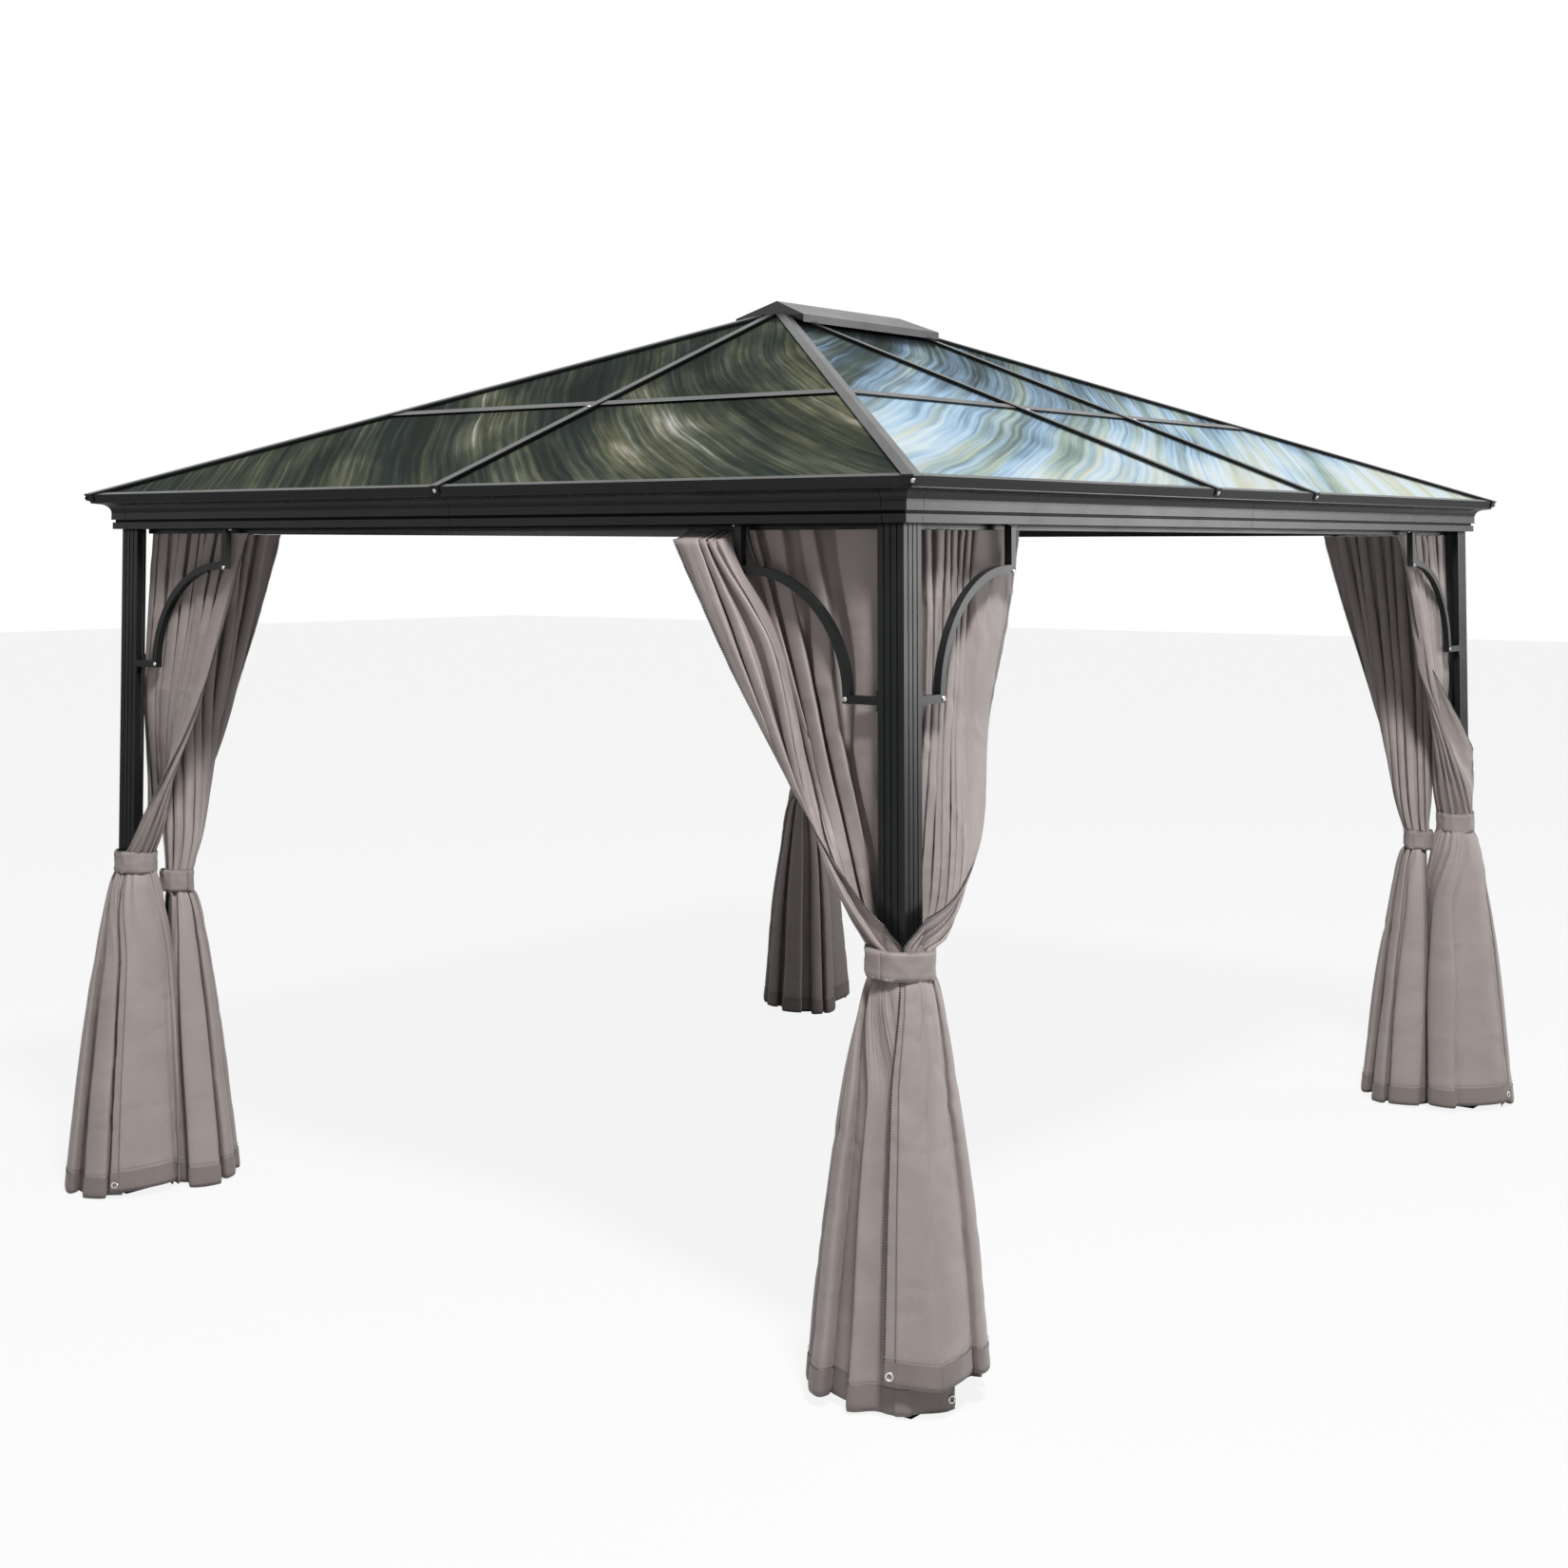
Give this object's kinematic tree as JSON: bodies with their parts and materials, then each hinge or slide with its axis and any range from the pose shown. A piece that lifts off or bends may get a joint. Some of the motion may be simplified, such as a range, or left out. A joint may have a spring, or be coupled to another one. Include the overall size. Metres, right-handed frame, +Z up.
{
  "type": "hardtop garden gazebo",
  "caption": "Open-sided garden gazebo with fluted corner posts, a moulded cornice, a hipped roof of smoked panels, arched brackets and tied-back curtains.",
  "frame": {"origin": "on the ground, at the middle of the plan", "axes": "+X along the long side to the right, +Y from the front side to the back, +Z up"},
  "size_m": [3.734, 3.084, 2.6805],
  "materials": {
    "frame": "satin charcoal powder coat",
    "smoked_panel": "glossy smoked polycarbonate sheet",
    "curtain_cloth": "taupe woven polyester",
    "tie_cloth": "taupe woven polyester, doubled"
  },
  "bodies": {
    "root": {"post_front_left": "frame", "post_front_right": "frame", "post_back_left": "frame", "post_back_right": "frame", "foot_plates": "frame", "beam_front": "frame", "beam_right": "frame", "beam_back": "frame", "beam_left": "frame", "cornice_corners": "frame", "eave_trim_front": "frame", "eave_trim_right": "frame", "eave_trim_back": "frame", "eave_trim_left": "frame", "hip_front_left": "frame", "hip_front_right": "frame", "hip_back_left": "frame", "hip_back_right": "frame", "rafters_front": "frame", "rafters_right": "frame", "rafters_back": "frame", "rafters_left": "frame", "purlins_front": "frame", "purlins_right": "frame", "purlins_back": "frame", "purlins_left": "frame", "panels_front": "smoked_panel", "panels_right": "smoked_panel", "panels_back": "smoked_panel", "panels_left": "smoked_panel", "ridge_beam": "frame", "ridge_hubs": "frame", "ridge_cap": "frame", "brackets_front_left": "frame", "brackets_front_right": "frame", "brackets_back_left": "frame", "brackets_back_right": "frame", "curtain_tracks": "frame", "curtain_front_left_front": "curtain_cloth", "curtain_front_left_side": "curtain_cloth", "curtain_front_right_front": "curtain_cloth", "curtain_front_right_side": "curtain_cloth", "curtain_back_left_back": "curtain_cloth", "curtain_back_left_side": "curtain_cloth", "curtain_back_right_back": "curtain_cloth", "curtain_back_right_side": "curtain_cloth", "tie_bands": "tie_cloth"}
  },
  "joints": []
}
